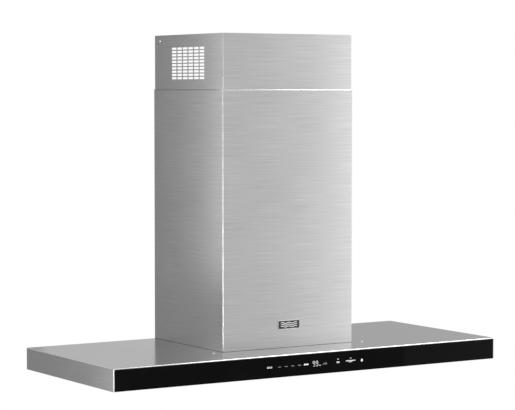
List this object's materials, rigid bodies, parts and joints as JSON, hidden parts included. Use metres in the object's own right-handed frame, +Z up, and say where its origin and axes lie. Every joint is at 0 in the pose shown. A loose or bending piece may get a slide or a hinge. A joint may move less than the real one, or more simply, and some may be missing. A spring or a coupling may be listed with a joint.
{
  "type": "range hood",
  "caption": "Wide flat-box wall range hood with a black touch-glass front, a telescopic square chimney with vent slots, hinged baffle filters, lamps, and a ducted centrifugal blower.",
  "frame": {"origin": "on the wall plane, at the middle of the canopy's lower back edge", "axes": "+X to the right as seen from the front, +Y into the wall, +Z up; the glass front faces -Y"},
  "size_m": [1.217, 0.5, 0.909],
  "materials": {
    "brushed_steel": "horizontal brushed grain, semi-mirror on the flat top",
    "satin_steel": "satin stainless",
    "screw_steel": "polished",
    "galvanised": "zinc with faint spangle",
    "black_glass": "back-painted gloss black",
    "lamp_glass": "frosted",
    "lamp_chrome": "polished ring",
    "heat_sink": "cast fins",
    "badge_black": "dark face with bright rim",
    "circuit": "solder-masked board",
    "fan_plastic": "moulded",
    "bare_steel": "turned",
    "damper_plastic": "moulded black",
    "soft_rubber": "matte",
    "cable_jacket": "PVC jacket",
    "capacitor_case": "white case",
    "glide_felt": "felt strip"
  },
  "bodies": {
    "canopy": {"canopy_shell": "brushed_steel", "canopy_end_left": "brushed_steel", "canopy_end_right": "brushed_steel", "canopy_back": "brushed_steel", "cover_locators": "brushed_steel", "underside_panel": "satin_steel", "filter_brackets": "satin_steel", "latch_keepers": "satin_steel", "glass_channel": "satin_steel", "top_screws": "screw_steel", "box_screws": "screw_steel", "blower_box": "galvanised", "scroll_wrapper": "galvanised", "scroll_cheek_left": "galvanised", "scroll_cheek_right": "galvanised", "inlet_ring_left": "galvanised", "inlet_ring_right": "galvanised", "stiffener_left": "galvanised", "stiffener_right": "galvanised", "wall_cleat": "galvanised", "box_cleat": "galvanised", "motor_bracket": "galvanised", "control_box": "galvanised", "control_box_lid": "galvanised", "junction_box": "galvanised", "junction_lid": "galvanised", "front_glass": "black_glass", "lamp_lenses": "lamp_glass", "lamp_bezels": "lamp_chrome", "lamp_modules": "heat_sink", "touch_board": "circuit", "power_board": "circuit", "damper_pin": "bare_steel", "motor_body": "bare_steel", "outlet_collar": "damper_plastic", "motor_mounts": "soft_rubber", "touch_cable": "cable_jacket", "lamp_cable": "cable_jacket", "motor_cable": "cable_jacket", "capacitor": "capacitor_case"},
    "lower_cover": {"lower_cover": "brushed_steel", "badge_plate": "badge_black", "glide_strips": "glide_felt"},
    "upper_cover": {"upper_cover": "brushed_steel", "upper_wall_bracket": "galvanised", "cover_screws": "screw_steel"},
    "fan": {"fan_wheel": "fan_plastic", "fan_hub": "bare_steel", "motor_shaft": "bare_steel"},
    "damper_front": {"damper_flap_front": "damper_plastic"},
    "damper_rear": {"damper_flap_rear": "damper_plastic"},
    "filter_left": {"filter_frame_left": "satin_steel", "filter_baffles_left": "satin_steel"},
    "filter_centre": {"filter_frame_centre": "satin_steel", "filter_baffles_centre": "satin_steel"},
    "filter_right": {"filter_frame_right": "satin_steel", "filter_baffles_right": "satin_steel"},
    "latch_left": {"latch_bolt_left": "satin_steel"},
    "latch_centre": {"latch_bolt_centre": "satin_steel"},
    "latch_right": {"latch_bolt_right": "satin_steel"}
  },
  "joints": [
    {"name": "lower_cover_lift", "type": "slide", "parent": "canopy", "child": "lower_cover", "axis": [0, 0, 1], "range_m": [0, 0.12]},
    {"name": "upper_cover_extend", "type": "slide", "parent": "canopy", "child": "upper_cover", "axis": [0, 0, 1], "range_m": [0, 0.28]},
    {"name": "fan_spin", "type": "hinge", "parent": "canopy", "child": "fan", "pos_m": [0, -0.195, 0.205], "axis": [1, 0, 0], "continuous": true},
    {"name": "damper_front_swing", "type": "hinge", "parent": "canopy", "child": "damper_front", "pos_m": [0, -0.112, 0.385], "axis": [1, 0, 0], "range_deg": [-80, 0]},
    {"name": "damper_rear_swing", "type": "hinge", "parent": "canopy", "child": "damper_rear", "pos_m": [0, -0.112, 0.385], "axis": [1, 0, 0], "range_deg": [0, 80]},
    {"name": "filter_left_swing", "type": "hinge", "parent": "canopy", "child": "filter_left", "pos_m": [-0.316, -0.053, 0.011], "axis": [1, 0, 0], "range_deg": [0, 75]},
    {"name": "latch_left_slide", "type": "slide", "parent": "filter_left", "child": "latch_left", "axis": [0, 1, 0], "range_m": [-0.006, 0.008]},
    {"name": "filter_centre_swing", "type": "hinge", "parent": "canopy", "child": "filter_centre", "pos_m": [0, -0.053, 0.011], "axis": [1, 0, 0], "range_deg": [0, 75]},
    {"name": "latch_centre_slide", "type": "slide", "parent": "filter_centre", "child": "latch_centre", "axis": [0, 1, 0], "range_m": [-0.006, 0.008]},
    {"name": "filter_right_swing", "type": "hinge", "parent": "canopy", "child": "filter_right", "pos_m": [0.316, -0.053, 0.011], "axis": [1, 0, 0], "range_deg": [0, 75]},
    {"name": "latch_right_slide", "type": "slide", "parent": "filter_right", "child": "latch_right", "axis": [0, 1, 0], "range_m": [-0.006, 0.008]}
  ]
}
